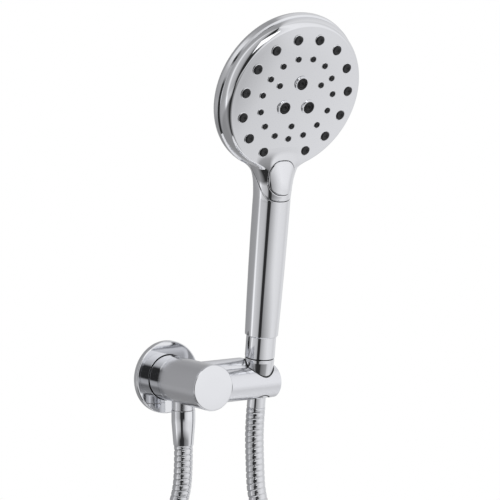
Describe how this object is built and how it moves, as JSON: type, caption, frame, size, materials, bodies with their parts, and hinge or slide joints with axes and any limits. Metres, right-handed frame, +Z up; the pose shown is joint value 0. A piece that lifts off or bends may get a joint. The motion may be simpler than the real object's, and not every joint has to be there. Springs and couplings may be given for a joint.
{
  "type": "hand shower",
  "caption": "Chrome hand shower with a round multi-mode spray head, mode button and round handle, resting in the arm of a round wall outlet and fed by a metal hose.",
  "frame": {"origin": "centre of the wall flange's back face, on the inlet axis: where the set meets the wall", "axes": "+Z up, +Y into the wall, -Y out into the room, +X to the right seen from the room"},
  "size_m": [0.1641, 0.1343, 0.551],
  "materials": {
    "chrome_metal": "polished chrome plating over brass",
    "chrome_plastic": "bright chrome plating over ABS",
    "brass": "machined brass",
    "black_rubber": "soft black silicone",
    "hose_metal": "polished steel spiral over a rubber tube",
    "inner_plastic": "moulded plastic",
    "black_plastic": "moulded black plastic",
    "steel": "stainless steel"
  },
  "bodies": {
    "bracket": {"wall_flange": "chrome_metal", "flange_seal": "black_rubber", "rear_collar": "chrome_metal", "set_screw": "steel", "inlet_nipple": "brass", "nipple_oring": "black_rubber", "check_valve": "inner_plastic", "front_cap": "chrome_metal", "bracket_body": "chrome_metal", "holder_liner": "black_plastic", "outlet_stub": "brass", "outlet_nut": "chrome_metal", "outlet_washer": "black_rubber", "outlet_tail": "brass", "hose_outlet_leg": "hose_metal", "hose_handset_leg": "hose_metal", "hose_coil": "hose_metal", "hose_tie": "black_plastic"},
    "hose_end": {"hose_tail": "brass", "hose_ferrule": "chrome_metal", "swivel_washer": "black_rubber"},
    "handset": {"cone_nut": "chrome_metal", "cone_gasket": "black_rubber", "handle_collar": "chrome_metal", "handle_insert": "black_plastic", "flow_regulator": "inner_plastic", "water_tube": "inner_plastic", "rear_shell": "chrome_plastic", "front_cover": "chrome_plastic", "nozzle_mat": "black_rubber", "massage_rings": "chrome_plastic", "massage_nozzles": "black_rubber", "spray_plate": "inner_plastic", "divider_plate": "inner_plastic", "plate_screws": "steel", "chamber_housing": "inner_plastic", "chamber_seal": "black_rubber", "button_seat": "inner_plastic", "button_spring": "steel"},
    "diverter": {"diverter_disc": "inner_plastic", "ratchet_wheel": "inner_plastic"},
    "button": {"mode_button": "chrome_plastic", "button_wedge": "inner_plastic"},
    "selector": {"selector_rod": "steel"}
  },
  "joints": [
    {"name": "handset_lift", "type": "slide", "parent": "bracket", "child": "hose_end", "axis": [0, -0.126, 0.992], "range_m": [0, 0.03], "deforming": ["hose_handset_leg"]},
    {"name": "handset_turn", "type": "hinge", "parent": "hose_end", "child": "handset", "pos_m": [0.04817, -0.05335, 0], "axis": [0, -0.126, 0.992], "continuous": true},
    {"name": "diverter_turn", "type": "hinge", "parent": "handset", "child": "diverter", "pos_m": [0.04817, -0.10312, 0.2097], "axis": [0, -0.9367, -0.3502], "continuous": true},
    {"name": "button_press", "type": "slide", "parent": "handset", "child": "button", "axis": [0, 0.992, 0.126], "range_m": [0, 0.0018], "stiffness_N_per_m": 800, "springref_m": -0.001, "deforming": ["button_spring"]},
    {"name": "selector_slide", "type": "slide", "parent": "handset", "child": "selector", "axis": [0, -0.3502, 0.9367], "range_m": [0, 0.00243]}
  ],
  "couplings": [
    {"joint": "selector_slide", "follows": "button_press", "ratio": 1.344}
  ]
}
